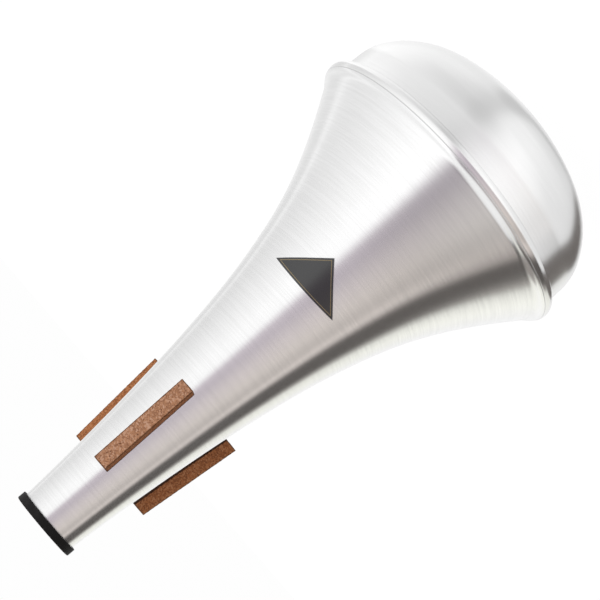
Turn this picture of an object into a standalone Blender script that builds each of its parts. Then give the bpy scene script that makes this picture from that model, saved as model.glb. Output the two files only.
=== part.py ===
"""Bass trombone straight mute, standing on the flat of its domed cap with its mouth up.

The mute is two spun aluminium sheets. The flared body is a horn that opens from the mouth to a rim,
and a shallow domed cap closes the rim. The cap's edge is curled into a false wire and the body's edge
is rolled over it, which leaves the round bead that runs round the widest place. The bead is fuller above
its widest place than below it. Three cork strips, cut to the flare underneath and flat on top, wedge the
mute in the bell's throat. A soft ring grips the raw edge of the mouth, and a triangular badge is stuck on
the flare.

Metres, +Z up, the axis of the mute on Z. Turned outlines are lists of (radius, height) points with the
height counted from the widest place of the seam. They run down the outside of the sheet, top to bottom.
"""

import math

import bmesh
import bpy
import numpy as np
from mathutils import Vector
from mathutils.geometry import interpolate_bezier

MM = 0.001
DEG = math.pi / 180

# Sheet metal and fits
SHEET = 0.8 * MM
FIT_GAP = 0.3 * MM

# Flared body: three stations of one smooth curve, each a radius, a height and a slope from the axis
MOUTH_RADIUS = 16.35 * MM
MOUTH_HEIGHT = 245.6 * MM
MOUTH_SLOPE = 3.0 * DEG
WAIST_RADIUS = 36.6 * MM
WAIST_HEIGHT = 89.8 * MM
WAIST_SLOPE = 15.0 * DEG
RIM_HEIGHT = 6.3 * MM
RIM_INSET = 4.37 * MM
RIM_SLOPE = 34.15 * DEG

# How far each station pulls the curve straight, as shares of the height between stations
MOUTH_PULL = 0.20
WAIST_PULL_UP = 0.30
WAIST_PULL_DOWN = 0.3113
RIM_PULL = 0.5625

# Rolled seam: the hem's section is one arc above the widest place and a tighter one below it
BEAD_DIAMETER = 160.0 * MM
HEM_TOP_RADIUS = 5.0 * MM
HEM_LOW_RADIUS = 3.7 * MM
HEM_WRAP = 92 * DEG
CURL_RADIUS = 1.9 * MM
CURL_END = 60 * DEG

# Domed cap: a drafted wall, a shoulder, a side and a crown, cut flat where it stands
CAP_WALL_LENGTH = 14.6 * MM
CAP_WALL_DRAFT = 1.85 * DEG
SHOULDER_RADIUS = 25.2 * MM
SHOULDER_END = 28.8 * DEG
SIDE_RADIUS = 44.9 * MM
CROWN_RADIUS = 121.8 * MM
FOOT_RADIUS = 24.0 * MM

# Soft ring on the mouth
RING_HEIGHT = 4.25 * MM
RING_WEB = 1.2 * MM
RING_LEG = 1.1 * MM
RING_CORNER = 0.5 * MM

# Cork strips, which start one drop below the mouth's edge
CORK_COUNT = 3
CORK_NAMES = ("cork_front", "cork_right", "cork_left")
CORK_WIDTH = 8.0 * MM
CORK_THICKNESS = 7.9 * MM
CORK_DROP = 37.3 * MM
CORK_LENGTH = 53.2 * MM
CORK_SINK = 4.0 * MM

# Badge: a flat right-angled triangle wrapped on the flare, its point towards the rim
BADGE_BASE = 41.0 * MM
BADGE_DEPTH = 20.5 * MM
BADGE_TOP = 87.0 * MM
BADGE_TURN = -1.75 * DEG
BADGE_SHEET = 0.35 * MM
BADGE_CUTS = 7

# Steps round each turned piece, and along each stretch of the outlines
TURN_STEPS = 52
NECK_STEPS = 8
BELL_STEPS = 10
COVE_STEPS = 3
HEM_TOP_STEPS = 5
HEM_LOW_STEPS = 7
CURL_STEPS = 9
SHOULDER_STEPS = 4
SIDE_STEPS = 6
CROWN_STEPS = 4
CORNER_STEPS = 3

MERGE_DISTANCE = 0.01 * MM
SHARP_ANGLE = 35 * DEG

# Colour, roughness and metallic value of each finish
FINISHES = {
    "brushed_aluminium": ((0.80, 0.80, 0.81), 0.32, 1.0),
    "polished_aluminium": ((0.83, 0.83, 0.84), 0.20, 1.0),
    "black_rubber": ((0.012, 0.012, 0.013), 0.65, 0.0),
    "cork": ((0.36, 0.17, 0.085), 0.90, 0.0),
    "badge_black": ((0.020, 0.020, 0.022), 0.35, 0.0),
}

BEAD_RADIUS = BEAD_DIAMETER / 2
CURL_CENTRE = BEAD_RADIUS - SHEET - FIT_GAP - CURL_RADIUS


def clear_scene():
    """Remove every object, so that the script gives the same result wherever it is run."""
    for obj in list(bpy.data.objects):
        bpy.data.objects.remove(obj, do_unlink=True)


def new_collection(name):
    """Make a collection and put it in the scene."""
    collection = bpy.data.collections.new(name)
    bpy.context.scene.collection.children.link(collection)
    return collection


def new_material(name, finish):
    """Make a Principled BSDF material from one of the finishes."""
    colour, roughness, metallic = FINISHES[finish]
    material = bpy.data.materials.new(name)
    material.use_nodes = True
    shader = material.node_tree.nodes["Principled BSDF"]
    shader.inputs["Base Color"].default_value = (*colour, 1.0)
    shader.inputs["Roughness"].default_value = roughness
    shader.inputs["Metallic"].default_value = metallic
    return material


def arc(centre, radius, start, end, segments):
    """Return points on a circle about (radius, height), from one angle to another."""
    angles = np.linspace(start, end, segments + 1)
    return [(centre[0] + radius * math.cos(a), centre[1] + radius * math.sin(a)) for a in angles]


def downhill(slope):
    """Return the direction of a wall that widens downwards by a slope from the axis."""
    return Vector((math.sin(slope), -math.cos(slope)))


def flare_profile():
    """Return the flare's outside from the mouth to the rim, as two curves that meet at the waist."""
    mouth = Vector((MOUTH_RADIUS, MOUTH_HEIGHT))
    waist = Vector((WAIST_RADIUS, WAIST_HEIGHT))
    rim = Vector((BEAD_RADIUS - RIM_INSET, RIM_HEIGHT))
    neck_drop = MOUTH_HEIGHT - WAIST_HEIGHT
    bell_drop = WAIST_HEIGHT - RIM_HEIGHT
    neck = interpolate_bezier(mouth, mouth + downhill(MOUTH_SLOPE) * MOUTH_PULL * neck_drop,
                              waist - downhill(WAIST_SLOPE) * WAIST_PULL_UP * neck_drop,
                              waist, NECK_STEPS + 1)
    bell = interpolate_bezier(waist, waist + downhill(WAIST_SLOPE) * WAIST_PULL_DOWN * bell_drop,
                              rim - downhill(RIM_SLOPE) * RIM_PULL * bell_drop,
                              rim, BELL_STEPS + 1)
    return [(point[0], point[1]) for point in [*neck, *bell[1:]]]


def flare_radius(height):
    """Return the flare's outside radius at a height above the seam."""
    radii, heights = np.array(flare_profile()).T
    return float(np.interp(height, heights[::-1], radii[::-1]))


def seam_profile():
    """Return the cove that leaves the flare's rim and the hem that rolls over the cap's curl."""
    rim = Vector((BEAD_RADIUS - RIM_INSET, RIM_HEIGHT))
    hem = Vector((BEAD_RADIUS - HEM_TOP_RADIUS, 0.0))
    outward = Vector((math.cos(RIM_SLOPE), math.sin(RIM_SLOPE)))
    offset = rim - hem
    bulge = HEM_TOP_RADIUS - offset.dot(outward)
    cove_radius = (offset.length_squared - HEM_TOP_RADIUS ** 2) / (2 * bulge)
    cove = rim + cove_radius * outward
    meeting = math.atan2(cove.y - hem.y, cove.x - hem.x)
    points = arc(cove, cove_radius, math.pi + RIM_SLOPE, math.pi + meeting, COVE_STEPS)[1:]
    points += arc(hem, HEM_TOP_RADIUS, meeting, 0.0, HEM_TOP_STEPS)[1:]
    points += arc((BEAD_RADIUS - HEM_LOW_RADIUS, 0.0), HEM_LOW_RADIUS, 0.0, -HEM_WRAP, HEM_LOW_STEPS)[1:]
    return points


def cap_profile():
    """Return the cap's outside, from the free end of its curl down to the middle of its foot."""
    draft = CAP_WALL_DRAFT
    points = arc((CURL_CENTRE, 0.0), CURL_RADIUS - SHEET, -CURL_END, math.pi - draft, CURL_STEPS)
    top = Vector(points[-1])
    bottom = top + CAP_WALL_LENGTH * Vector((-math.sin(draft), -math.cos(draft)))
    inward = Vector((-math.cos(draft), math.sin(draft)))
    shoulder = bottom + SHOULDER_RADIUS * inward
    points += arc(shoulder, SHOULDER_RADIUS, -draft, -SHOULDER_END, SHOULDER_STEPS)
    shoulder_out = Vector((math.cos(SHOULDER_END), -math.sin(SHOULDER_END)))
    side = shoulder + (SHOULDER_RADIUS - SIDE_RADIUS) * shoulder_out
    side_end = math.acos(side.x / (CROWN_RADIUS - SIDE_RADIUS))
    points += arc(side, SIDE_RADIUS, -SHOULDER_END, -side_end, SIDE_STEPS)[1:]
    crown_height = side.y + (CROWN_RADIUS - SIDE_RADIUS) * math.sin(side_end)
    foot_angle = math.acos(FOOT_RADIUS / CROWN_RADIUS)
    points += arc((0.0, crown_height), CROWN_RADIUS, -side_end, -foot_angle, CROWN_STEPS)[1:]
    points.append((0.0, points[-1][1]))
    return points


def ring_profile():
    """Return the closed section of the soft ring: a channel that opens downwards over the mouth's edge."""
    floor = MOUTH_HEIGHT + FIT_GAP
    top = floor + RING_WEB
    bottom = top - RING_HEIGHT
    slot_outer = flare_radius(bottom) + FIT_GAP
    slot_inner = MOUTH_RADIUS - SHEET / math.cos(MOUTH_SLOPE) - FIT_GAP
    outer = slot_outer + RING_LEG
    inner = slot_inner - RING_LEG
    corner = RING_CORNER
    points = arc((outer - corner, top - corner), corner, math.pi / 2, 0.0, CORNER_STEPS)
    points += [(outer, bottom), (slot_outer, bottom), (slot_outer, floor)]
    points += [(slot_inner, floor), (slot_inner, bottom), (inner, bottom)]
    points += arc((inner + corner, top - corner), corner, math.pi, math.pi / 2, CORNER_STEPS)
    return points


def turned(name, points, collection, closed=False):
    """Make an object from a turned outline: a chain of edges and a Screw modifier round Z."""
    mesh = bpy.data.meshes.new(name)
    count = len(points)
    edges = [(i, i + 1) for i in range(count - 1)]
    if closed:
        edges.append((count - 1, 0))
    mesh.from_pydata([(radius, 0.0, height) for radius, height in points], edges, [])
    obj = bpy.data.objects.new(name, mesh)
    collection.objects.link(obj)
    screw = obj.modifiers.new("turn", "SCREW")
    screw.axis = "Z"
    screw.angle = 2 * math.pi
    screw.steps = TURN_STEPS
    screw.render_steps = TURN_STEPS
    screw.use_merge_vertices = True
    screw.merge_threshold = MERGE_DISTANCE
    return obj


def thicken_inwards(obj, thickness):
    """Give an open sheet its thickness on the side away from its face."""
    solidify = obj.modifiers.new("sheet", "SOLIDIFY")
    solidify.thickness = thickness
    solidify.offset = -1.0
    solidify.use_even_offset = True
    solidify.use_quality_normals = True
    return obj


def settle(obj, material, assembly):
    """Apply the modifiers, shade the round faces smooth, and set the piece in the assembly."""
    bpy.context.view_layer.update()
    graph = bpy.context.evaluated_depsgraph_get()
    mesh = bpy.data.meshes.new_from_object(obj.evaluated_get(graph))
    mesh.name = obj.name
    obj.modifiers.clear()
    obj.data = mesh
    mesh.shade_smooth()
    mesh.set_sharp_from_angle(angle=SHARP_ANGLE)
    mesh.materials.clear()
    mesh.materials.append(material)
    obj.parent = assembly
    return obj


def make_body(collection, assembly):
    """Spin the flared body, with its hem, as one sheet."""
    body = turned("flared_body", flare_profile() + seam_profile(), collection)
    thicken_inwards(body, SHEET)
    return settle(body, new_material("flared_body", "brushed_aluminium"), assembly)


def make_cap(collection, assembly):
    """Spin the domed cap, with its curled edge, as one sheet."""
    cap = turned("domed_cap", cap_profile(), collection)
    thicken_inwards(cap, SHEET)
    return settle(cap, new_material("domed_cap", "polished_aluminium"), assembly)


def make_ring(collection, assembly):
    """Turn the soft ring on the mouth's edge."""
    ring = turned("mouth_ring", ring_profile(), collection, closed=True)
    return settle(ring, new_material("mouth_ring", "black_rubber"), assembly)


def make_flare_cutter(cutters, assembly):
    """Make a solid of the flare, one gap larger, which cuts the corks to the body's shape."""
    outside = [(radius + FIT_GAP, height) for radius, height in flare_profile()]
    points = [(0.0, outside[0][1]), *outside, (0.0, outside[-1][1])]
    cutter = turned("flare_clearance", points, cutters)
    cutter.parent = assembly
    cutter.hide_render = True
    cutter.display_type = "WIRE"
    return cutter


def make_cork(name, turn, cutter, collection, assembly):
    """Make one strip: a block along the flare with a flat outer face, cut to fit the body."""
    top = MOUTH_HEIGHT - CORK_DROP
    bottom = top - CORK_LENGTH
    mesh = bpy.data.meshes.new(name)
    block = bmesh.new()
    bmesh.ops.create_cube(block, size=1.0)
    for vert in block.verts:
        height = top if vert.co.z > 0 else bottom
        reach = CORK_THICKNESS if vert.co.y < 0 else -CORK_SINK
        vert.co = Vector((vert.co.x * CORK_WIDTH, -flare_radius(height) - reach, height))
    block.to_mesh(mesh)
    block.free()
    cork = bpy.data.objects.new(name, mesh)
    cork.rotation_euler.z = turn
    collection.objects.link(cork)
    cork.parent = assembly
    cut = cork.modifiers.new("saddle", "BOOLEAN")
    cut.operation = "DIFFERENCE"
    cut.solver = "EXACT"
    cut.object = cutter
    return settle(cork, new_material(name, "cork"), assembly)


def wrap_on_flare(across, down):
    """Lay a point of the flat badge on the flare, taken as a cone that touches it under the badge."""
    slope = math.atan2(flare_radius(BADGE_TOP - BADGE_DEPTH) - flare_radius(BADGE_TOP), BADGE_DEPTH)
    slant = flare_radius(BADGE_TOP) / math.sin(slope)
    reach = math.hypot(across, slant + down)
    angle = math.atan2(across, slant + down) / math.sin(slope) + BADGE_TURN
    height = BADGE_TOP - (reach - slant) * math.cos(slope)
    radius = flare_radius(height) + FIT_GAP
    return Vector((radius * math.sin(angle), -radius * math.cos(angle), height))


def make_badge(collection, assembly):
    """Cut the triangular badge flat, wrap it on the flare and give it its thickness outwards."""
    mesh = bpy.data.meshes.new("badge")
    sheet = bmesh.new()
    corners = ((-BADGE_BASE / 2, 0.0), (0.0, BADGE_DEPTH), (BADGE_BASE / 2, 0.0))
    bmesh.ops.create_circle(sheet, cap_ends=True, segments=3, radius=1.0)
    for vert, corner in zip(sheet.verts, corners):
        vert.co = Vector((*corner, 0.0))
    bmesh.ops.subdivide_edges(sheet, edges=sheet.edges, cuts=BADGE_CUTS, use_grid_fill=True)
    for vert in sheet.verts:
        vert.co = wrap_on_flare(vert.co.x, vert.co.y)
    bmesh.ops.recalc_face_normals(sheet, faces=sheet.faces)
    if sum((face.normal.dot(face.calc_center_median()) for face in sheet.faces)) < 0:
        bmesh.ops.reverse_faces(sheet, faces=sheet.faces)
    sheet.to_mesh(mesh)
    sheet.free()
    badge = bpy.data.objects.new("badge", mesh)
    collection.objects.link(badge)
    solidify = badge.modifiers.new("sheet", "SOLIDIFY")
    solidify.thickness = BADGE_SHEET
    solidify.offset = 1.0
    return settle(badge, new_material("badge", "badge_black"), assembly)


def build_mute():
    """Build the whole mute, standing on its cap with the middle of its foot at the origin."""
    clear_scene()
    parts = new_collection("bass_trombone_mute")
    cutters = new_collection("cutters")
    assembly = bpy.data.objects.new("mute", None)
    assembly.location.z = -cap_profile()[-1][1]
    parts.objects.link(assembly)
    make_body(parts, assembly)
    make_cap(parts, assembly)
    make_ring(parts, assembly)
    cutter = make_flare_cutter(cutters, assembly)
    for index in range(CORK_COUNT):
        turn = index * 2 * math.pi / CORK_COUNT
        make_cork(CORK_NAMES[index], turn, cutter, parts, assembly)
    make_badge(parts, assembly)


build_mute()
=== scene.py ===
"""Studio scene of a bass trombone straight mute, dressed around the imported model.

The mute stands on the flat of its domed cap with the mouth up, on the Z axis. Two spun aluminium
sheets make its hollow body, rolled together in a round seam at the widest place. A soft ring grips
the mouth, three cork strips sit on the neck, and a triangular badge is stuck on the flare.

Lengths are in metres and angles in degrees. A section is a list of (radius, height) points with the
height counted from the widest place of the seam, which FRAME_LIFT raises to its place in the frame.
"""

import logging
import math
from collections.abc import Callable
from dataclasses import dataclass
from enum import Enum, IntEnum

import bmesh
import bpy
from mathutils import Matrix, Vector
from mathutils.geometry import interpolate_bezier


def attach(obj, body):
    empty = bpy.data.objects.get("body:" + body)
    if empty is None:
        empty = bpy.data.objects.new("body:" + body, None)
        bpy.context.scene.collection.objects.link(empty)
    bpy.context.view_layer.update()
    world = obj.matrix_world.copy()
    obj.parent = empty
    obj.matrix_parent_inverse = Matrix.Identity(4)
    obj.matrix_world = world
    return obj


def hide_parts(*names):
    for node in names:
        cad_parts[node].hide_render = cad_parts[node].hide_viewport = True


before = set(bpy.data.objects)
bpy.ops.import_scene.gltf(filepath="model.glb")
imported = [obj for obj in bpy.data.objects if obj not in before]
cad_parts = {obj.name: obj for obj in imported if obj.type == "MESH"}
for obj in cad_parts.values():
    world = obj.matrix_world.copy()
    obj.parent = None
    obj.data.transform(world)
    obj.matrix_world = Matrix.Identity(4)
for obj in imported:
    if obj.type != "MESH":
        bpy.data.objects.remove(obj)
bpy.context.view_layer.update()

log = logging.getLogger("mute")

Piece = bpy.types.Object
Socket = bpy.types.NodeSocket
Section = list[tuple[float, float]]
Colour = tuple[float, float, float]
Fade = tuple[tuple[float, float], ...]

MM = 0.001
QUARTER_TURN = 0.25
WELD = 0.001 * MM


def arc(centre: tuple[float, float], radius: float, start: float, end: float, steps: int) -> Section:
    """Return points on a circle of the section.

    Args:
        centre: The circle's radius from the axis and its height.
        radius: The circle's own radius.
        start: The first angle in radians, from the outward direction upwards.
        end: The last angle in radians.
        steps: The number of steps between the two ends.

    Returns:
        The points, both ends included.
    """
    angles = [start + (end - start) * i / steps for i in range(steps + 1)]
    return [(centre[0] + radius * math.cos(a), centre[1] + radius * math.sin(a)) for a in angles]


def downhill(slope: float) -> Vector:
    """Return the direction of a wall that widens downwards by a slope, in degrees, from the axis."""
    return Vector((math.sin(math.radians(slope)), -math.cos(math.radians(slope))))


class Bench:
    """The modelling steps that the pieces share, done with Blender's own operators."""

    @staticmethod
    def pick(piece: Piece) -> None:
        """Select one piece alone and make it active."""
        bpy.ops.object.select_all(action="DESELECT")
        piece.select_set(True)
        bpy.context.view_layer.objects.active = piece

    @staticmethod
    def name_new(name: str) -> Piece:
        """Name the object that an operator has just added, and return it."""
        piece = bpy.context.object
        piece.name = name
        piece.data.name = name
        return piece

    @staticmethod
    def select_faces(piece: Piece, wanted: Callable[[Vector, Vector], bool]) -> None:
        """Select the faces of a piece in edit mode by a test of their middle and normal."""
        bpy.ops.mesh.select_all(action="DESELECT")
        mesh = bmesh.from_edit_mesh(piece.data)
        for face in mesh.faces:
            face.select_set(bool(wanted(face.calc_center_median(), face.normal)))
        mesh.select_flush(True)
        bmesh.update_edit_mesh(piece.data)

    @staticmethod
    def face_outwards() -> None:
        """Turn every face of the mesh in edit mode outwards."""
        bpy.ops.mesh.select_all(action="SELECT")
        bpy.ops.mesh.normals_make_consistent(inside=False)

    @staticmethod
    def draw_section(name: str, section: Section) -> Piece:
        """Draw a section as a chain of edges, from one vertex extruded point by point.

        Args:
            name: The new object's name.
            section: The points of the chain.

        Returns:
            The object, in object mode, with the chain in the XZ plane.
        """
        lifted = [Vector((radius, 0.0, height + FRAME_LIFT)) for radius, height in section]
        bpy.ops.mesh.primitive_plane_add(size=MM, location=lifted[0])
        piece = Bench.name_new(name)
        bpy.ops.object.transform_apply()
        bpy.ops.object.mode_set(mode="EDIT")
        bpy.ops.mesh.select_all(action="SELECT")
        bpy.ops.mesh.merge(type="CENTER")
        for start, end in zip(lifted, lifted[1:]):
            bpy.ops.mesh.extrude_region_move(TRANSFORM_OT_translate={"value": end - start})
        bpy.ops.object.mode_set(mode="OBJECT")
        return piece

    @staticmethod
    def turn(name: str, section: Section, steps: int) -> Piece:
        """Spin a section once round the Z axis and close its seam.

        Args:
            name: The new object's name.
            section: The points of the section, drawn with the outside of the piece on their left.
            steps: The number of steps round the axis.

        Returns:
            The turned sheet or solid, with its faces outwards.
        """
        piece = Bench.draw_section(name, section)
        bpy.ops.object.mode_set(mode="EDIT")
        bpy.ops.mesh.select_all(action="SELECT")
        bpy.ops.mesh.spin(steps=steps, angle=math.tau, center=(0, 0, 0), axis=(0, 0, 1))
        bpy.ops.mesh.select_all(action="SELECT")
        bpy.ops.mesh.remove_doubles(threshold=WELD)
        Bench.face_outwards()
        middle = len(section) // 2
        start, end = Vector(section[middle - 1]), Vector(section[middle])
        spot = Vector(((start.x + end.x) / 2, 0.0, (start.y + end.y) / 2 + FRAME_LIFT))
        left = Vector((start.y - end.y, 0.0, end.x - start.x))
        faces = bmesh.from_edit_mesh(piece.data).faces
        nearest = min(faces, key=lambda face: (face.calc_center_median() - spot).length)
        if nearest.normal.dot(left) < 0:
            bpy.ops.mesh.flip_normals()
        bpy.ops.object.mode_set(mode="OBJECT")
        return piece

    @staticmethod
    def modify(piece: Piece, kind: str, **settings: object) -> None:
        """Add a modifier, give it its settings and apply it.

        Args:
            piece: The piece to change.
            kind: The modifier's type, such as SOLIDIFY.
            settings: The modifier's properties by name.
        """
        Bench.pick(piece)
        modifier = piece.modifiers.new(kind.lower(), kind)
        for name, value in settings.items():
            setattr(modifier, name, value)
        bpy.ops.object.modifier_apply(modifier=modifier.name)

    @staticmethod
    def paint(piece: Piece, finishes: list["Finish"], choose: Callable[[Vector, Vector], int]) -> None:
        """Give each face of a piece one of several finishes.

        Args:
            piece: The piece to dress.
            finishes: The finishes, in slot order.
            choose: The slot's number from a face's middle and its normal.
        """
        piece.data.materials.clear()
        for finish in finishes:
            piece.data.materials.append(finish.material())
        for face in piece.data.polygons:
            face.material_index = choose(face.center, face.normal)

    @staticmethod
    def hand_over(piece: Piece, slot: str, *nodes: str, sharp: float = 40.0) -> None:
        """Shade a finished piece, hang it on the root body and hide the CAD parts that it stands for.

        Args:
            piece: The finished piece.
            slot: Not used.
            nodes: The CAD nodes that it replaces.
            sharp: The angle past which an edge stays sharp.
        """
        Bench.pick(piece)
        bpy.ops.object.transform_apply()
        bpy.ops.object.shade_smooth_by_angle(angle=math.radians(sharp))
        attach(piece, "root")
        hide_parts(*nodes)
        log.info("%s: %d faces", piece.name, len(piece.data.polygons))


class NodeBoard:
    """A node tree with short ways to add nodes and to join them."""

    def __init__(self, tree: bpy.types.NodeTree) -> None:
        """Keep the tree that the nodes go into."""
        self.tree = tree

    def add(self, kind: str, inputs: dict | None = None, **settings: object) -> bpy.types.Node:
        """Add a node.

        Args:
            kind: The node's type without its ShaderNode prefix.
            inputs: A value, or another node's output, for each input by name or number.
            settings: The node's properties by name.

        Returns:
            The new node.
        """
        node = self.tree.nodes.new("ShaderNode" + kind)
        for name, value in settings.items():
            setattr(node, name, value)
        self.feed(node, inputs or {})
        return node

    def feed(self, node: bpy.types.Node, inputs: dict) -> None:
        """Give a node's inputs, by name or number, a value or another node's output each."""
        for name, value in inputs.items():
            if isinstance(value, Socket):
                self.tree.links.new(value, node.inputs[name])
            else:
                node.inputs[name].default_value = value

    def math(self, operation: str, *values: object) -> Socket:
        """Return the result of a Math node on numbers or sockets."""
        return self.add("Math", dict(enumerate(values)), operation=operation).outputs[0]

    def vector(self, operation: str, first: object, second: object, output: str | int = 0) -> Socket:
        """Return the result of a Vector Math node, whose number is its output Value."""
        return self.add("VectorMath", {0: first, 1: second}, operation=operation).outputs[output]

    def step(self, value: Socket, low: float, high: float) -> Socket:
        """Return a soft step of a value from 0 at low to 1 at high."""
        node = self.add("MapRange", {"Value": value, "From Min": low, "From Max": high},
                        interpolation_type="SMOOTHSTEP")
        return node.outputs[0]

    def around(self, value: Socket, middle: float, reach: float) -> Socket:
        """Return a value from 0 to 1 mapped to a reach on both sides of a middle."""
        ends = {"To Min": middle - reach, "To Max": middle + reach}
        return self.add("MapRange", {"Value": value, **ends}).outputs[0]

    def blend(self, share: object, first: object, second: object) -> Socket:
        """Return a mix of two colours, where a share of 1 gives the second."""
        first, second = ((*value, 1.0) if isinstance(value, tuple) else value for value in (first, second))
        return self.add("Mix", {0: share, 6: first, 7: second}, data_type="RGBA").outputs[2]

    def ramp(self, value: Socket, stops: list[tuple[float, Colour]]) -> Socket:
        """Return the colour of a ramp at a value.

        Args:
            value: The place on the ramp, from 0 to 1.
            stops: The ramp's places and colours, in order.

        Returns:
            The colour socket.
        """
        node = self.add("ValToRGB", {"Fac": value})
        elements = node.color_ramp.elements
        while len(elements) < len(stops):
            elements.new(1.0)
        for element, (place, colour) in zip(elements, stops):
            element.position = place
            element.color = (*colour, 1.0)
        return node.outputs["Color"]

    def noise(self, vector: Socket, scale: float, detail: float = 3.0,
              roughness: float = 0.5) -> Socket:
        """Return a noise texture's value."""
        node = self.add("TexNoise", {"Vector": vector, "Scale": scale, "Detail": detail,
                                     "Roughness": roughness})
        return node.outputs[0]

    def stretched(self, scale: tuple[float, float, float] = (1, 1, 1)) -> Socket:
        """Return the object's own coordinates, stretched by a scale."""
        place = self.add("TexCoord").outputs["Object"]
        return self.add("Mapping", {"Vector": place, "Scale": scale}).outputs[0]


@dataclass(frozen=True)
class Finish:
    """The base of the finishes, whose nodes each kind of surface joins in its own way."""

    name: str

    def dress(self, board: NodeBoard, shader: bpy.types.Node) -> None:
        """Join the finish's nodes to a Principled shader."""
        raise NotImplementedError

    def material(self) -> bpy.types.Material:
        """Return a new node material with this finish."""
        material = bpy.data.materials.new(self.name)
        material.use_nodes = True
        self.dress(NodeBoard(material.node_tree), material.node_tree.nodes["Principled BSDF"])
        return material


@dataclass(frozen=True)
class SpunMetal(Finish):
    """Spun aluminium, whose tool and brush marks run round the mute.

    The marks make the metal rougher along the mute than across it, which draws reflections out
    into long stripes that run from the mouth to the rim. A worn mark is a little darker.
    """

    colour: Colour = (0.947, 0.947, 0.947)
    mark_tone: float = 0.94
    roughness: float = 0.25
    roughness_spread: float = 0.03
    anisotropy: float = 0.85
    mark_pitch: float = 1.0 * MM
    mark_length: float = 45 * MM
    fine_share: float = 0.4
    fine_scale: tuple[float, float] = (3.0, 2.7)
    worn_range: tuple[float, float] = (0.35, 0.65)
    haze_size: float = 35 * MM
    haze_spread: float = 0.02

    def dress(self, board: NodeBoard, shader: bpy.types.Node) -> None:
        """Join the metal's nodes to a Principled shader."""
        along, across = 1 / self.mark_pitch, 1 / self.mark_length
        marks = board.noise(board.stretched((across, across, along)), 1.0, 3.0, 0.6)
        across, along = across * self.fine_scale[0], along * self.fine_scale[1]
        fine = board.noise(board.stretched((across, across, along)), 1.0, 2.0, 0.6)
        haze = board.noise(board.stretched(), 1 / self.haze_size, 2.0)
        mixed = board.math("ADD", board.math("MULTIPLY", marks, 1 - self.fine_share),
                           board.math("MULTIPLY", fine, self.fine_share))
        worn = tuple(channel * self.mark_tone for channel in self.colour)
        tone = board.blend(board.step(mixed, *self.worn_range), self.colour, worn)
        rough = board.math("ADD", board.around(mixed, 0.0, self.roughness_spread),
                           board.around(haze, self.roughness, self.haze_spread))
        tangent = board.add("Tangent", direction_type="RADIAL", axis="Z").outputs[0]
        board.feed(shader, {"Base Color": tone, "Roughness": rough, "Metallic": 1.0,
                            "Anisotropic": self.anisotropy, "Anisotropic Rotation": QUARTER_TURN,
                            "Tangent": tangent})


@dataclass(frozen=True)
class SoftRubber(Finish):
    """Matt black rubber with a fine moulded grain."""

    name: str = "ring_rubber"
    colour: Colour = (0.0075, 0.0071, 0.0071)
    roughness: float = 0.60
    specular: float = 0.16
    grain: float = 0.35 * MM
    grain_depth: float = 0.02 * MM
    roughness_spread: float = 0.06
    bump: float = 0.6
    dust: float = 6 * MM
    dust_range: tuple[float, float] = (0.45, 0.75)
    dust_tone: float = 1.9

    def dress(self, board: NodeBoard, shader: bpy.types.Node) -> None:
        """Join the rubber's nodes to a Principled shader."""
        grain = board.noise(board.stretched(), 1 / self.grain)
        dust = board.noise(board.stretched(), 1 / self.dust)
        dusty = tuple(channel * self.dust_tone for channel in self.colour)
        bump = board.add("Bump", {"Height": grain, "Distance": self.grain_depth, "Strength": self.bump})
        tone = board.blend(board.step(dust, *self.dust_range), self.colour, dusty)
        rough = board.around(grain, self.roughness, self.roughness_spread)
        board.feed(shader, {"Base Color": tone, "Roughness": rough,
                            "Normal": bump.outputs[0], "Specular IOR Level": self.specular})


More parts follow.
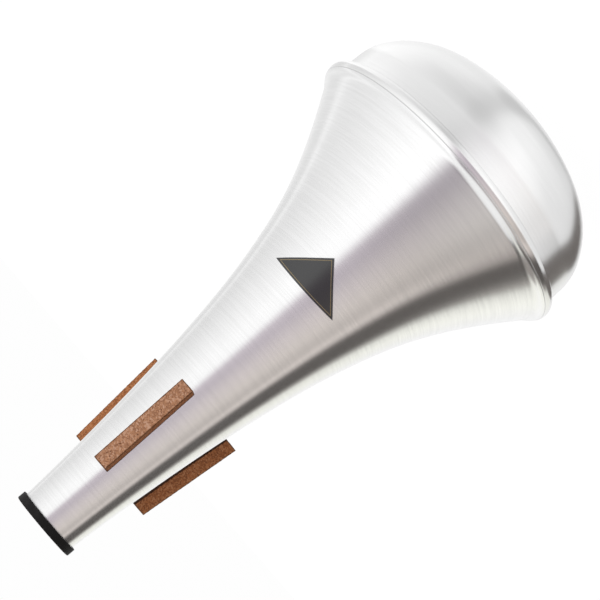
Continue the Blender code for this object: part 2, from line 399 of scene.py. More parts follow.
@dataclass(frozen=True)
class PressedCork(Finish):
    """Pressed cork: fine pale and reddish granules with a little dark bark between them."""

    tone: Colour
    granule: float = 0.65 * MM
    speck: float = 0.38 * MM
    granule_tones: tuple[tuple[float, Colour], ...] = (
        (0.22, (0.70, 0.64, 0.60)), (0.40, (0.90, 0.87, 0.84)), (0.58, (1.09, 1.04, 0.96)),
        (0.80, (1.30, 1.50, 1.75)))
    bark: Colour = (0.30, 0.25, 0.24)
    bark_share: float = 0.09
    roughness: float = 0.92
    specular: float = 0.2
    pit_depth: float = 0.10 * MM
    bump: float = 0.7
    cell_depth: float = 0.6
    kind_share: float = 0.72
    bark_edge: tuple[float, float] = (-0.03, 0.02)
    bark_radius: tuple[float, float] = (0.45, 0.25)
    bend_size: float = 1.2 * MM
    bend: float = 0.5 * MM

    def shade(self, factor: Colour) -> Colour:
        """Return the cork's tone times a factor for each channel."""
        red, green, blue = (tone * share for tone, share in zip(self.tone, factor))
        return red, green, blue

    def dress(self, board: NodeBoard, shader: bpy.types.Node) -> None:
        """Join the cork's nodes to a Principled shader."""
        place = board.stretched()
        wobble = board.add("TexNoise", {"Vector": place, "Scale": 1 / self.bend_size, "Detail": 2.0})
        bent = board.add("VectorMath", {0: wobble.outputs["Color"], "Scale": self.bend}, operation="SCALE")
        bent = board.vector("ADD", place, bent.outputs[0])
        cells = board.add("TexVoronoi", {"Vector": bent, "Scale": 1 / self.granule})
        kind = board.add("SeparateColor", {"Color": cells.outputs["Color"]}).outputs[0]
        fine = board.noise(place, 1 / self.speck, 4.0, 0.7)
        pick = board.math("ADD", board.math("MULTIPLY", kind, self.kind_share),
                          board.math("MULTIPLY", fine, 1 - self.kind_share))
        tone = board.ramp(pick, [(spot, self.shade(factor)) for spot, factor in self.granule_tones])
        specks = board.add("TexVoronoi", {"Vector": bent, "Scale": 1 / (self.speck * 2.0)})
        lone = board.add("SeparateColor", {"Color": specks.outputs["Color"]}).outputs[1]
        rare = [1 - self.bark_share + offset for offset in self.bark_edge]
        dark = board.math("MULTIPLY", board.step(lone, *rare),
                          board.step(specks.outputs["Distance"], *self.bark_radius))
        tone = board.blend(dark, tone, self.shade(self.bark))
        hollow = board.math("MULTIPLY", cells.outputs["Distance"], -self.cell_depth)
        height = board.math("ADD", hollow, fine)
        bump = board.add("Bump", {"Height": height, "Distance": self.pit_depth, "Strength": self.bump})
        board.feed(shader, {"Base Color": tone, "Roughness": self.roughness, "Normal": bump.outputs[0],
                            "Specular IOR Level": self.specular})


@dataclass(frozen=True)
class SatinEnamel(Finish):
    """A thin satin coat, such as the badge's black face or its gilt line."""

    colour: Colour
    roughness: float
    metallic: float = 0.0
    specular: float = 0.5
    grain: float = 0.5 * MM
    roughness_spread: float = 0.05
    cloud_range: tuple[float, float] = (0.3, 0.8)
    cloud_tone: float = 1.35
    cloud_lift: float = 0.002

    def dress(self, board: NodeBoard, shader: bpy.types.Node) -> None:
        """Join the coat's nodes to a Principled shader."""
        cloud = board.noise(board.stretched(), 1 / self.grain, 4.0, 0.6)
        paler = tuple(channel * self.cloud_tone + self.cloud_lift for channel in self.colour)
        tone = board.blend(board.step(cloud, *self.cloud_range), self.colour, paler)
        rough = board.around(cloud, self.roughness, self.roughness_spread)
        board.feed(shader, {"Base Color": tone, "Roughness": rough,
                            "Metallic": self.metallic, "Specular IOR Level": self.specular})


@dataclass(frozen=True)
class FloorPaper(Finish):
    """Pale matt paper, which the camera sees nearly white with a faint shadow."""

    colour: Colour = (0.85, 0.85, 0.85)
    glow: float = 1.04
    glow_share: float = 0.93

    def dress(self, board: NodeBoard, shader: bpy.types.Node) -> None:
        """Mix the paper with a glow that the camera alone sees."""
        board.feed(shader, {"Base Color": (*self.colour, 1.0), "Roughness": 1.0, "Specular IOR Level": 0.0})
        glow = board.add("Emission", {"Color": (1, 1, 1, 1), "Strength": self.glow})
        ray = board.add("LightPath").outputs["Is Camera Ray"]
        share = board.math("MULTIPLY", ray, self.glow_share)
        mixed = board.add("MixShader", {0: share, 1: shader.outputs[0], 2: glow.outputs[0]})
        board.feed(board.tree.nodes["Material Output"], {"Surface": mixed.outputs[0]})


@dataclass
class SeamSizes:
    """The sizes that the two sheets share where they are rolled together."""

    sheet: float = 0.8 * MM
    gap: float = 0.3 * MM
    bead_radius: float = 80.0 * MM
    hem_top_radius: float = 5.0 * MM
    hem_low_radius: float = 3.7 * MM
    hem_wrap: float = 92.0
    curl_radius: float = 1.9 * MM
    curl_end: float = 60.0
    groove_angle: float = 29.0
    groove_half: float = 3.0
    groove_depth: float = 0.2 * MM

    def centre(self, radius: float) -> tuple[float, float]:
        """Return the middle of a circle of the hem that touches the widest place."""
        return self.bead_radius - radius, 0.0


class BodySkin(IntEnum):
    """The finishes of the flared body, in slot order."""

    flare = 0
    seam = 1
    inside = 2
    groove = 3


@dataclass
class FlaredBody:
    """The spun horn, with the hem that is rolled over the cap's edge."""

    seam: SeamSizes
    mouth_radius: float = 16.35 * MM
    mouth_height: float = 245.6 * MM
    mouth_slope: float = 3.0
    waist_radius: float = 36.6 * MM
    waist_height: float = 89.8 * MM
    waist_slope: float = 15.0
    rim_height: float = 6.3 * MM
    rim_inset: float = 4.37 * MM
    rim_slope: float = 34.15
    pulls: tuple[float, float, float, float] = (0.20, 0.30, 0.3113, 0.5625)
    neck_steps: int = 56
    bell_steps: int = 56
    cove_steps: int = 8
    hem_steps: int = 12
    groove_steps: int = 6
    turn_steps: int = 192
    edge_round: float = 0.15 * MM
    edge_angle: float = 60.0

    @property
    def rim(self) -> Vector:
        """The end of the flare, where the cove begins."""
        return Vector((self.seam.bead_radius - self.rim_inset, self.rim_height))

    def flare(self) -> Section:
        """Return the flare's outside from the mouth to the rim, as two curves that meet at the waist."""
        mouth = Vector((self.mouth_radius, self.mouth_height))
        waist = Vector((self.waist_radius, self.waist_height))
        neck_drop = self.mouth_height - self.waist_height
        bell_drop = self.waist_height - self.rim_height
        mouth_pull, waist_up, waist_down, rim_pull = self.pulls
        neck = interpolate_bezier(mouth, mouth + downhill(self.mouth_slope) * mouth_pull * neck_drop,
                                  waist - downhill(self.waist_slope) * waist_up * neck_drop,
                                  waist, self.neck_steps + 1)
        bell = interpolate_bezier(waist, waist + downhill(self.waist_slope) * waist_down * bell_drop,
                                  self.rim - downhill(self.rim_slope) * rim_pull * bell_drop,
                                  self.rim, self.bell_steps + 1)
        return [(point[0], point[1]) for point in [*neck, *bell[1:]]]

    def seam_section(self) -> Section:
        """Return the cove that leaves the rim and the hem that rolls round the cap's curl.

        The seaming wheel leaves a fine groove along the hem, over its widest place.
        """
        seam, slope = self.seam, math.radians(self.rim_slope)
        top, low = seam.hem_top_radius, seam.hem_low_radius
        hem = Vector(seam.centre(top))
        outward = Vector((math.cos(slope), math.sin(slope)))
        offset = self.rim - hem
        cove_radius = (offset.length_squared - top ** 2) / (2 * top - 2 * offset.dot(outward))
        cove = self.rim + cove_radius * outward
        meeting = math.atan2(cove.y - hem.y, cove.x - hem.x)
        points = arc(cove, cove_radius, math.pi + slope, math.pi + meeting, self.cove_steps)[1:]
        groove, half = math.radians(seam.groove_angle), math.radians(seam.groove_half)
        points += arc(hem, top, meeting, groove + half, self.hem_steps)[1:]
        points += arc(hem, top - seam.groove_depth, groove, groove, 1)[1:]
        points += arc(hem, top, groove - half, 0.0, self.groove_steps)
        points += arc(seam.centre(low), low, 0.0, -math.radians(seam.hem_wrap), self.hem_steps)[1:]
        return points

    def radius_at(self, height: float) -> float:
        """Return the flare's outside radius at a height above the seam."""
        for (r0, h0), (r1, h1) in zip(self.flare(), self.flare()[1:]):
            if h1 <= height <= h0:
                return r0 + (r1 - r0) * (h0 - height) / (h0 - h1)
        raise ValueError(f"the flare has no height {height}")

    def in_groove(self, place: Vector) -> bool:
        """Tell whether a place of the body lies in the seaming wheel's groove."""
        seam = self.seam
        radius, height = seam.centre(seam.hem_top_radius)
        out = Vector((math.hypot(place.x, place.y) - radius, place.z - FRAME_LIFT - height))
        turned = math.degrees(math.atan2(out.y, out.x)) - seam.groove_angle
        outside = out.length > seam.hem_top_radius - seam.sheet / 2
        return outside and abs(turned) < seam.groove_half

    def build(self) -> None:
        """Spin the body, give the sheet its thickness and dress it."""
        body = Bench.turn("flared_body_sheet", self.flare() + self.seam_section(), self.turn_steps)
        Bench.modify(body, "SOLIDIFY", thickness=self.seam.sheet, offset=-1.0, use_even_offset=True,
                     use_quality_normals=True)
        Bench.modify(body, "BEVEL", width=self.edge_round, segments=2, limit_method="ANGLE",
                     angle_limit=math.radians(self.edge_angle))
        rim_level = self.rim_height + FRAME_LIFT
        finishes = [SpunMetal("flare_brushed"),
                    SpunMetal("seam_polished", colour=(0.93, 0.93, 0.93), roughness=0.20,
                              roughness_spread=0.02, anisotropy=0.6, mark_tone=0.98),
                    SpunMetal("inside_spun", colour=(0.72, 0.72, 0.71), roughness=0.42),
                    # The groove's darker metal is painted shade, laid over the groove's real dent.
                    SpunMetal("seam_groove_shade", colour=(0.76, 0.76, 0.76))]

        def choose(middle: Vector, normal: Vector) -> BodySkin:
            """Tell the inside, the polished seam, its groove and the brushed flare apart."""
            # Faces in the groove take its painted shade.
            if self.in_groove(middle):
                return BodySkin.groove
            if middle.z < rim_level:
                return BodySkin.seam
            inward = normal.dot(Vector((middle.x, middle.y, 0.0))) < 0
            return BodySkin.inside if inward else BodySkin.flare

        Bench.paint(body, finishes, choose)
        Bench.hand_over(body, "flared_body", "flared_body")


@dataclass
class DomedCap:
    """The spun cap that closes the wide end, with its edge curled into a false wire."""

    seam: SeamSizes
    wall_length: float = 14.6 * MM
    wall_draft: float = 1.85
    shoulder_radius: float = 25.2 * MM
    shoulder_end: float = 28.8
    side_radius: float = 44.9 * MM
    crown_radius: float = 121.8 * MM
    foot_radius: float = 24.0 * MM
    curl_steps: int = 16
    shoulder_steps: int = 10
    side_steps: int = 16
    crown_steps: int = 10
    turn_steps: int = 192

    def section(self) -> Section:
        """Return the cap's outside, from the free end of its curl to the middle of its foot."""
        draft, shoulder_end = math.radians(self.wall_draft), math.radians(self.shoulder_end)
        seam = self.seam
        middle = seam.centre(seam.sheet + seam.gap + seam.curl_radius)
        curl = arc(middle, seam.curl_radius - seam.sheet, -math.radians(seam.curl_end),
                   math.pi - draft, self.curl_steps)
        bottom = Vector(curl[-1]) + self.wall_length * Vector((-math.sin(draft), -math.cos(draft)))
        shoulder = bottom + self.shoulder_radius * Vector((-math.cos(draft), math.sin(draft)))
        points = curl + arc(shoulder, self.shoulder_radius, -draft, -shoulder_end, self.shoulder_steps)
        outward = Vector((math.cos(shoulder_end), -math.sin(shoulder_end)))
        side = shoulder + (self.shoulder_radius - self.side_radius) * outward
        reach = self.crown_radius - self.side_radius
        side_end = math.acos(side.x / reach)
        points += arc(side, self.side_radius, -shoulder_end, -side_end, self.side_steps)[1:]
        crown = (0.0, side.y + reach * math.sin(side_end))
        foot = math.acos(self.foot_radius / self.crown_radius)
        points += arc(crown, self.crown_radius, -side_end, -foot, self.crown_steps)[1:]
        return [*points, (0.0, points[-1][1])]

    def build(self) -> None:
        """Spin the cap, give the sheet its thickness and dress it."""
        cap = Bench.turn("domed_cap_sheet", self.section(), self.turn_steps)
        Bench.modify(cap, "SOLIDIFY", thickness=self.seam.sheet, offset=-1.0, use_even_offset=True,
                     use_quality_normals=True)
        finishes = [SpunMetal("cap_polished", colour=(0.93, 0.93, 0.93), roughness=0.24,
                              roughness_spread=0.02, anisotropy=0.45, mark_tone=0.98),
                    SpunMetal("cap_inside", colour=(0.72, 0.72, 0.71), roughness=0.42)]
        wall_top = FRAME_LIFT - self.seam.hem_low_radius

        def choose(middle: Vector, normal: Vector) -> int:
            """Tell the cap's outside from its inside."""
            inward = normal.dot(Vector((middle.x, middle.y, middle.z - wall_top))) < 0
            return 1 if inward and middle.z < wall_top else 0

        Bench.paint(cap, finishes, choose)
        Bench.hand_over(cap, "domed_cap", "domed_cap")


@dataclass
class MouthRing:
    """The soft channel that is pushed over the raw edge of the mouth."""

    body: FlaredBody
    height: float = 4.25 * MM
    web: float = 1.2 * MM
    leg: float = 1.1 * MM
    corner: float = 0.5 * MM
    lip: float = 0.25 * MM
    corner_steps: int = 5
    turn_steps: int = 160

    def section(self) -> Section:
        """Return the ring's closed section: a channel that opens downwards."""
        seam, body = self.body.seam, self.body
        floor = body.mouth_height + seam.gap
        top = floor + self.web
        bottom = top - self.height
        slot_outer = body.radius_at(bottom) + seam.gap
        slot_inner = body.mouth_radius - seam.sheet / math.cos(math.radians(body.mouth_slope)) - seam.gap
        outer, inner = slot_outer + self.leg, slot_inner - self.leg
        corner, lip, steps = self.corner, self.lip, self.corner_steps
        points = arc((outer - corner, top - corner), corner, math.pi / 2, 0.0, steps)
        points += arc((outer - lip, bottom + lip), lip, 0.0, -math.pi / 2, steps)
        points += [(slot_outer, bottom), (slot_outer, floor), (slot_inner, floor), (slot_inner, bottom)]
        points += arc((inner + lip, bottom + lip), lip, -math.pi / 2, -math.pi, steps)
        points += arc((inner + corner, top - corner), corner, math.pi, math.pi / 2, steps)
        return [*points, points[0]]

    def build(self) -> None:
        """Spin the ring and dress it."""
        ring = Bench.turn("mouth_ring_grip", self.section(), self.turn_steps)
        Bench.paint(ring, [SoftRubber()], lambda middle, normal: 0)
        Bench.hand_over(ring, "mouth_ring", "mouth_ring")


class CorkPlace(Enum):
    """Where each cork strip sits: its turn round the axis from the front."""

    front = 0.0
    right = 120.0
    left = 240.0


class CorkSkin(IntEnum):
    """The finishes of a cork strip, in slot order."""

    face = 0
    side = 1
    foot_shade = 2
    edge = 3


@dataclass
class CorkStrips:
    """The three strips that wedge the mute in the bell, flat outside and hollowed to the neck."""

    body: FlaredBody
    width: float = 8.0 * MM
    thickness: float = 7.9 * MM
    drop: float = 37.3 * MM
    length: float = 53.2 * MM
    sink: float = 4.0 * MM
    seat_gap: float = 0.12 * MM
    edge_round: float = 0.18 * MM
    cell: float = 0.28 * MM
    crumb: float = 1.1 * MM
    crumb_depth: float = 0.16 * MM
    crumb_level: float = 0.62
    crumb_detail: int = 3
    face_tone: Colour = (0.395, 0.203, 0.118)
    # Painted shade: the sides are the face's cork, coloured darker and redder for the shade of sides that
    # turn from the light.
    shaded_side_tone: Colour = (0.295, 0.114, 0.045)
    # Painted shade: a near-black band along each strip's foot, up to 1.5 mm from the neck, stands for the
    # shade in the gap under the strip.
    foot_shade_tone: Colour = (0.055, 0.022, 0.010)
    foot_shade: float = 1.5 * MM
    # A darker band runs along the strip's edges, up to 0.45 mm from where two of its faces meet.
    edge_band_tone: Colour = (0.150, 0.066, 0.030)
    edge_band: float = 0.45 * MM

    @property
    def top(self) -> float:
        """The height of the strips' upper end, one drop below the mouth's edge."""
        return self.body.mouth_height - self.drop

    def cutter(self) -> Piece:
        """Spin a solid of the neck that hollows the strips to its shape."""
        wider = [(radius + self.seat_gap, height) for radius, height in self.body.flare()]
        section = [(0.0, wider[0][1]), *wider, (0.0, wider[-1][1])]
        return Bench.turn("neck_form", section, self.body.turn_steps)

    def block(self) -> Piece:
        """Add the front strip's block and slant it along the neck."""
        bottom = self.top - self.length
        low, high = self.body.radius_at(bottom), self.body.radius_at(self.top)
        depth = self.thickness + self.sink
        place = (0.0, -low - self.thickness + depth / 2, FRAME_LIFT + (self.top + bottom) / 2)
        bpy.ops.mesh.primitive_cube_add(size=1.0, location=place, scale=(self.width, depth, self.length))
        block = Bench.name_new("cork_strip_front")
        bpy.ops.object.transform_apply()
        bpy.ops.object.mode_set(mode="EDIT")
        Bench.select_faces(block, lambda middle, normal: normal.z > 0.9)
        bpy.ops.transform.translate(value=(0.0, low - high, 0.0))
        bpy.ops.mesh.select_all(action="SELECT")
        bpy.ops.mesh.bevel(offset=self.edge_round, segments=2, affect="EDGES")
        bpy.ops.object.mode_set(mode="OBJECT")
        return block

    def part_of(self, middle: Vector, normal: Vector) -> CorkSkin:
        """Tell the front strip's face, its sides with their painted shade, the painted shade along its foot
        and its darker edges apart.
        """
        height = middle.z - FRAME_LIFT
        # Faces within 1.5 mm of the neck take the foot's painted shade.
        if math.hypot(middle.x, middle.y) - self.body.radius_at(height) < self.foot_shade:
            return CorkSkin.foot_shade
        bottom = self.top - self.length
        low, high = self.body.radius_at(bottom), self.body.radius_at(self.top)
        front = low + self.thickness - (low - high) * (height - bottom) / self.length
        planes = (self.width / 2 - abs(middle.x), self.top - height, height - bottom, front + middle.y)
        # Faces close to two of the strip's faces at once take the darker edge band.
        if sum(gap < self.edge_band for gap in planes) > 1:
            return CorkSkin.edge
        # The sides take the face's cork with painted shade.
        return CorkSkin.face if normal.y < -0.7 else CorkSkin.side

    def crumble(self, strip: Piece) -> None:
        """Give a strip the uneven skin of cut cork."""
        Bench.modify(strip, "REMESH", mode="VOXEL", voxel_size=self.cell)
        crumbs = bpy.data.textures.new("cork_crumbs", "CLOUDS")
        crumbs.noise_scale = self.crumb
        crumbs.noise_depth = self.crumb_detail
        Bench.modify(strip, "DISPLACE", texture=crumbs, texture_coords="LOCAL",
                     strength=self.crumb_depth, mid_level=self.crumb_level)

    def build(self) -> None:
        """Make the front strip, then copy and turn it for the other two."""
        cutter, first = self.cutter(), self.block()
        Bench.modify(first, "BOOLEAN", operation="DIFFERENCE", solver="EXACT", object=cutter)
        bpy.data.objects.remove(cutter)
        self.crumble(first)
        finishes = [PressedCork("cork_face", self.face_tone),
                    # The second finish is the face's cork with the sides' painted shade.
                    PressedCork("cork_side", self.shaded_side_tone),
                    # The third finish is the foot's painted shade.
                    PressedCork("cork_foot_shade", self.foot_shade_tone, bark_share=0.0),
                    PressedCork("cork_edge", self.edge_band_tone)]
        Bench.paint(first, finishes, self.part_of)
        strips = {CorkPlace.front: first}
        for place in (CorkPlace.right, CorkPlace.left):
            strip = strips[place] = first.copy()
            strip.data = first.data.copy()
            strip.name = strip.data.name = "cork_strip_" + place.name
            bpy.context.scene.collection.objects.link(strip)
            strip.data.transform(Matrix.Rotation(math.radians(place.value), 4, "Z"))
        for place, strip in strips.items():
            strip.visible_glossy = False
            Bench.hand_over(strip, "cork", "cork_" + place.name, sharp=60.0)


@dataclass
class Badge:
    """The black triangle stuck on the flare, bare but for a thin gilt line inside its edge."""

    body: FlaredBody
    base: float = 41.0 * MM
    depth: float = 20.5 * MM
    top: float = 87.0 * MM
    turn: float = -1.75
    lift: float = 0.10 * MM
    sheet: float = 0.45 * MM
    margin: float = 0.9 * MM
    line: float = 0.3 * MM
    slices: int = 24

    def wrap(self, across: float, down: float, out: float) -> Vector:
        """Lay a point of the flat badge on the flare, taken as a cone that touches it there.

        Args:
            across: The point's distance from the badge's middle line.
            down: Its distance below the badge's top edge.
            out: Its height off the badge's back.

        Returns:
            The point in the frame.
        """
        radius_top = self.body.radius_at(self.top)
        slope = math.atan2(self.body.radius_at(self.top - self.depth) - radius_top, self.depth)
        slant = radius_top / math.sin(slope)
        reach = math.hypot(across, slant + down)
        angle = math.atan2(across, slant + down) / math.sin(slope) + math.radians(self.turn)
        height = self.top - (reach - slant) * math.cos(slope)
        radius = self.body.radius_at(height) + self.lift + out * math.cos(slope)
        rise = height + FRAME_LIFT + out * math.sin(slope)
        return Vector((radius * math.sin(angle), -radius * math.cos(angle), rise))

    def build(self) -> None:
        """Cut the badge flat, inset its line, slice it so that it bends, and wrap it on the flare."""
        bpy.ops.mesh.primitive_circle_add(vertices=3, radius=self.depth, fill_type="NGON")
        badge = Bench.name_new("badge_plate")
        corners = ((-self.base / 2, 0.0), (0.0, self.depth), (self.base / 2, 0.0))
        for vert, corner in zip(badge.data.vertices, corners):
            vert.co = (*corner, 0.0)
        bpy.ops.object.mode_set(mode="EDIT")
        Bench.face_outwards()
        bpy.ops.mesh.extrude_region_move(TRANSFORM_OT_translate={"value": (0.0, 0.0, self.sheet)})
        bpy.ops.mesh.inset(thickness=self.margin, depth=0.0)
        bpy.ops.mesh.inset(thickness=self.line, depth=0.0)
        for index in range(1, self.slices):
            place = self.base * (index / self.slices - 0.5)
            bpy.ops.mesh.select_all(action="SELECT")
            bpy.ops.mesh.bisect(plane_co=(place, 0, 0), plane_no=(1, 0, 0))
        Bench.face_outwards()
        bpy.ops.object.mode_set(mode="OBJECT")
        inner = self.margin + self.line

        def on_line(middle: Vector, normal: Vector) -> int:
            """Tell the gilt line from the black face by the distance to the nearest edge."""
            if normal.z < 0.5 or middle.z < self.sheet / 2:
                return 0
            half, depth = self.base / 2, self.depth
            side = (half - abs(middle.x) - middle.y * half / depth) * depth / math.hypot(half, depth)
            edge = min(middle.y, side)
            return 1 if self.margin < edge < inner else 0

        black = SatinEnamel("badge_black", (0.005, 0.005, 0.006), 0.22, specular=1.0)
        gilt = SatinEnamel("badge_gilt", (0.24, 0.19, 0.11), 0.35, metallic=0.6)
        Bench.paint(badge, [black, gilt], on_line)
        for vert in badge.data.vertices:
            vert.co = self.wrap(vert.co.x, vert.co.y, vert.co.z)
        Bench.pick(badge)
        bpy.ops.object.mode_set(mode="EDIT")
        Bench.face_outwards()
        bpy.ops.object.mode_set(mode="OBJECT")
        Bench.hand_over(badge, "badge", "badge")


class Tint(Enum):
    """The casts of the studio's walls."""

    white = (1.0, 1.0, 1.0)
    ivory = (1.0, 1.0, 0.93)
    mauve = (1.082, 0.970, 1.056)
    rose = (1.08, 0.975, 0.97)
    warm = (1.08, 0.983, 0.924)

    def at(self, level: float) -> Colour:
        """Return the cast at a level."""
        red, green, blue = (level * channel for channel in self.value)
        return red, green, blue


@dataclass(frozen=True)
class Wall:
    """One tone of the tent round the mute.

    Azimuth 0 is towards the camera, and it grows towards the picture's lower right.
    """

    azimuth: float
    level: float
    tint: Tint = Tint.white

    def stop(self) -> tuple[float, Colour]:
        """Return the wall as a stop of a ramp that goes once round."""
        return self.azimuth / 360 + 0.5, self.tint.at(self.level)

    def cast_stop(self) -> tuple[float, Colour]:
        """Return a stop of the ramp that tells the shaded walls from the white ones."""
        shaded = self.tint in (Tint.mauve, Tint.rose, Tint.warm)
        return self.azimuth / 360 + 0.5, (float(shaded),) * 3


@dataclass(frozen=True)
class Card:
    """A soft-edged card that hangs in the tent, long from its middle towards its end.

    Places are (azimuth, elevation), and half_size is its half length and half width as seen from
    the mute, in radians.
    """

    middle: tuple[float, float]
    end: tuple[float, float]
    half_size: tuple[float, float]
    level: float
    tint: Tint = Tint.white
    strength: float = 1.0
    softness: float = 0.35
    squareness: float = 2.0


@dataclass
class Studio:
    """A white tent with a grey wall behind the camera and a dark flag beside it, and a pale floor."""

    camera_azimuth: float = 11.37
    walls: tuple[Wall, ...] = (
        Wall(-180, 1.05), Wall(-165, 0.97), Wall(-152, 0.87), Wall(-141, 0.82), Wall(-136, 0.93),
        Wall(-132.5, 1.06), Wall(-128.5, 0.86), Wall(-115, 0.84), Wall(-95, 0.895), Wall(-60, 1.03),
        Wall(-40, 1.11), Wall(-21, 1.11), Wall(-9, 0.53, Tint.mauve), Wall(2, 0.48, Tint.mauve),
        Wall(25, 0.58, Tint.rose), Wall(45, 0.59, Tint.warm), Wall(60, 0.47, Tint.warm),
        Wall(66, 0.48, Tint.warm), Wall(71.5, 0.635, Tint.warm), Wall(75.5, 0.60, Tint.warm),
        Wall(84, 0.09, Tint.warm), Wall(108.5, 0.09, Tint.warm), Wall(120, 0.85, Tint.ivory),
        Wall(133, 1.0, Tint.ivory), Wall(160, 1.01), Wall(180, 1.05))
    sweeps: tuple[Wall, ...] = (
        Wall(-180, 1.05), Wall(-160, 0.95), Wall(-140, 1.09), Wall(-115, 1.04), Wall(-85, 0.87),
        Wall(-50, 0.76), Wall(-20, 0.71), Wall(2, 1.06), Wall(22, 1.17), Wall(45, 1.08), Wall(68, 0.88),
        Wall(100, 0.84), Wall(140, 0.78), Wall(158, 0.83), Wall(180, 0.98))
    shaded_fade: Fade = ((-16, 0.95), (4, 0.92), (12, 1.17), (18, 1.13), (25, 0.99), (33, 0.92),
                         (42, 0.79), (53, 0.63), (60, 0.54))
    white_fade: Fade = ((-16, 0.88), (3, 0.92), (10, 0.99), (30, 1.0), (42, 1.03), (55, 1.07))
    sweep_fade: Fade = ((-66, 1.0), (-56, 0.98), (-46, 0.94), (-36, 0.97), (-26, 1.0), (-20, 1.06))
    nadir_share: Fade = ((-77, 1.0), (-71, 0.70), (-66, 0.48), (-61, 0.34), (-51, 0.19), (-41, 0.05),
                         (-36, 0.0))
    cards: tuple[Card, ...] = (
        Card((-33, -50), (-45, -66), (0.45, 0.13), 0.58, strength=0.6, softness=0.6),
        Card((163, -59), (180, -66), (0.30, 0.16), 0.72, strength=0.5, softness=0.8),
        Card((172, -43), (-178, -50), (0.22, 0.09), 0.50, softness=0.5),
        Card((-172, -60), (-165, -68), (0.30, 0.09), 0.60, softness=0.6),
        Card((129, -27), (143, -32.5), (0.50, 0.20), 0.14, Tint.warm, softness=0.2, squareness=2.4),
        Card((85, 41), (85, 55), (0.16, 0.10), 0.42, Tint.warm, softness=0.5),
        Card((92, 58), (110, 60), (0.17, 0.08), 0.75, softness=0.5),
        Card((113, 2), (113, 12), (0.12, 0.06), 0.25, Tint.warm, softness=0.5),
        Card((114, 27), (114, 37), (0.12, 0.06), 0.30, Tint.warm, softness=0.5),
        Card((136, 44), (155, 42), (0.34, 0.15), 0.26, Tint.warm, softness=0.4),
        Card((70, 74), (70, 84), (0.34, 0.34), 0.93, softness=0.8))
    nadir_levels: tuple[float, float] = (0.98, 0.68)
    nadir_side: float = -100.0
    nadir_edge: tuple[float, float] = (0.03, 0.17)
    horizon: tuple[float, float] = (-0.33, -0.26)
    card_facing: tuple[float, float] = (0.2, 0.4)
    background: float = 0.99
    lamp_place: tuple[float, float] = (-75.0, 25.0)
    lamp_aim: float = 0.16
    lamp_distance: float = 1.3
    lamp_size: float = 0.8
    lamp_power: float = 8.0
    floor_size: float = 12.0

    @staticmethod
    def direction(azimuth: float, elevation: float) -> Vector:
        """Return the direction of a place on the tent, as seen in the camera's own frame."""
        a, e = math.radians(azimuth), math.radians(elevation)
        return Vector((-math.sin(a) * math.cos(e), -math.cos(a) * math.cos(e), math.sin(e)))

    def card_mask(self, board: NodeBoard, place: Socket, card: Card) -> Socket:
        """Return a card's strength inside it and 0 outside it, with a soft edge."""
        middle = self.direction(*card.middle)
        length = self.direction(*card.end) - middle
        length = (length - middle * length.dot(middle)).normalized()
        width = middle.cross(length)
        squares = []
        for axis, size in zip((length, width), card.half_size):
            reach = board.vector("DOT_PRODUCT", place, axis / size, "Value")
            squares.append(board.math("POWER", board.math("ABSOLUTE", reach), card.squareness))
        facing = board.vector("DOT_PRODUCT", place, middle, "Value")
        inside = board.step(board.math("ADD", *squares), 1 + card.softness, 1 - card.softness)
        inside = board.math("MULTIPLY", inside, board.step(facing, *self.card_facing))
        return board.math("MULTIPLY", inside, card.strength)

    def light(self) -> None:
        """Build the world: the tent's walls by direction, and plain white for the camera."""
        world = bpy.data.worlds.new("tent")
        bpy.context.scene.world = world
        world.use_nodes = True
        world.node_tree.nodes.clear()
        board = NodeBoard(world.node_tree)
        place = board.add("TexCoord").outputs["Generated"]
        place = board.add("Mapping", {"Vector": place,
                                      "Rotation": (0, 0, math.radians(self.camera_azimuth))}).outputs[0]
        x, y, z = board.add("SeparateXYZ", {0: place}).outputs
        angle = board.math("ARCTAN2", board.math("MULTIPLY", x, -1.0), board.math("MULTIPLY", y, -1.0))
        turn = board.math("ADD", board.math("DIVIDE", angle, math.tau), 0.5)
        rise = board.math("ADD", board.math("DIVIDE", board.math("ARCSINE", z), math.pi), 0.5)

        def faded(fade: Fade) -> Socket:
            """Return a fade's level at a ray's elevation."""
            return board.ramp(rise, [(elevation / 180 + 0.5, (level,) * 3) for elevation, level in fade])

        upper = board.ramp(turn, [wall.stop() for wall in self.walls])
        shaded = board.ramp(turn, [wall.cast_stop() for wall in self.walls])
        fade = board.blend(shaded, faded(self.white_fade), faded(self.shaded_fade))
        upper = board.vector("MULTIPLY", upper, fade)
        lower = board.ramp(turn, [wall.stop() for wall in self.sweeps])
        lower = board.vector("MULTIPLY", lower, faded(self.sweep_fade))
        near, far = (Tint.white.at(level) for level in self.nadir_levels)
        side = board.vector("DOT_PRODUCT", place, self.direction(self.nadir_side, 0.0), "Value")
        nadir = board.blend(board.step(side, *self.nadir_edge), near, far)
        lower = board.blend(faded(self.nadir_share), lower, nadir)
        tent = board.blend(board.step(z, *self.horizon), lower, upper)
        for card in self.cards:
            tent = board.blend(self.card_mask(board, place, card), tent, card.tint.at(card.level))
        lit = board.add("Background", {"Color": tent, "Strength": 1.0})
        plain = board.add("Background", {"Color": (1, 1, 1, 1), "Strength": self.background})
        ray = board.add("LightPath")
        mixed = board.add("MixShader", {0: ray.outputs["Is Camera Ray"], 1: lit.outputs[0],
                                        2: plain.outputs[0]})
        board.add("OutputWorld", {"Surface": mixed.outputs[0]})

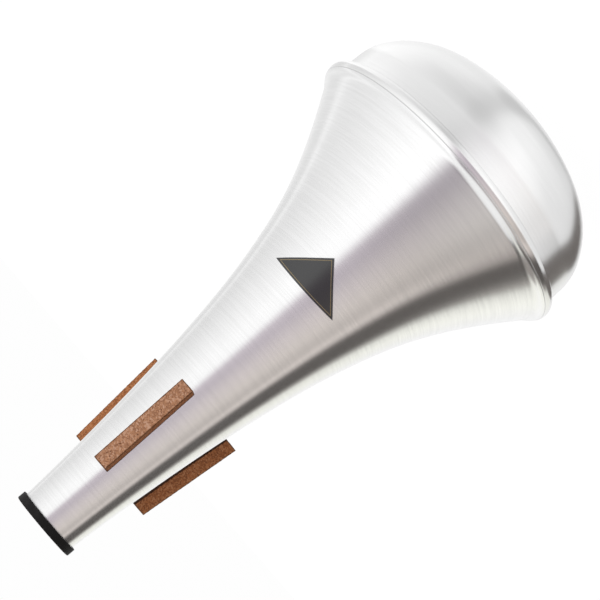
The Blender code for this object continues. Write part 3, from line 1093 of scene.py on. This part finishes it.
    def hang_lamp(self) -> None:
        """Hang a soft lamp on the camera's left, which the metal doesn't mirror."""
        data = bpy.data.lights.new("soft_lamp", "AREA")
        data.shape = "SQUARE"
        data.size = self.lamp_size
        data.energy = self.lamp_power
        lamp = bpy.data.objects.new("soft_lamp", data)
        bpy.context.scene.collection.objects.link(lamp)
        turned = Matrix.Rotation(-math.radians(self.camera_azimuth), 4, "Z")
        away = turned @ self.direction(*self.lamp_place)
        lamp.location = Vector((0.0, 0.0, self.lamp_aim)) + away * self.lamp_distance
        lamp.rotation_euler = away.to_track_quat("Z", "Y").to_euler()
        lamp.visible_glossy = False

    def lay_floor(self) -> None:
        """Lay the pale floor."""
        bpy.ops.mesh.primitive_plane_add(size=self.floor_size, location=(0, 0, 0))
        floor = Bench.name_new("studio_floor")
        floor.visible_glossy = False
        floor.data.materials.append(FloorPaper("floor_paper").material())


@dataclass
class PhotoCamera:
    """The camera at the photograph's viewing angle, rolled as the photograph is."""

    place: tuple[float, float, float] = (-0.16071, -0.79919, 0.26599)
    aim: tuple[float, float, float] = (0.00306, 0.0, 0.13944)
    roll: float = 130.28
    field_of_view: float = 19.83

    def build(self) -> None:
        """Add the camera and make it the scene's own."""
        data = bpy.data.cameras.new("photo_camera")
        data.angle = math.radians(self.field_of_view)
        camera = bpy.data.objects.new("photo_camera", data)
        bpy.context.scene.collection.objects.link(camera)
        forward = Vector(self.aim) - Vector(self.place)
        upright = forward.to_track_quat("-Z", "Y").to_matrix().to_4x4()
        rolled = upright @ Matrix.Rotation(-math.radians(self.roll), 4, "Z")
        camera.matrix_world = Matrix.Translation(self.place) @ rolled
        bpy.context.scene.camera = camera


FRAME_LIFT = -DomedCap(SeamSizes()).section()[-1][1]


def main() -> None:
    """Build the mute and its studio, one piece after another."""
    logging.basicConfig(level=logging.INFO, format="%(name)s: %(message)s")
    bpy.context.scene.view_settings.view_transform = "Standard"
    seam = SeamSizes()
    body = FlaredBody(seam)
    PhotoCamera().build()
    body.build()
    DomedCap(seam).build()
    MouthRing(body).build()
    CorkStrips(body).build()
    Badge(body).build()
    studio = Studio()
    studio.light()
    studio.hang_lamp()
    studio.lay_floor()


if __name__ == "__main__":
    main()
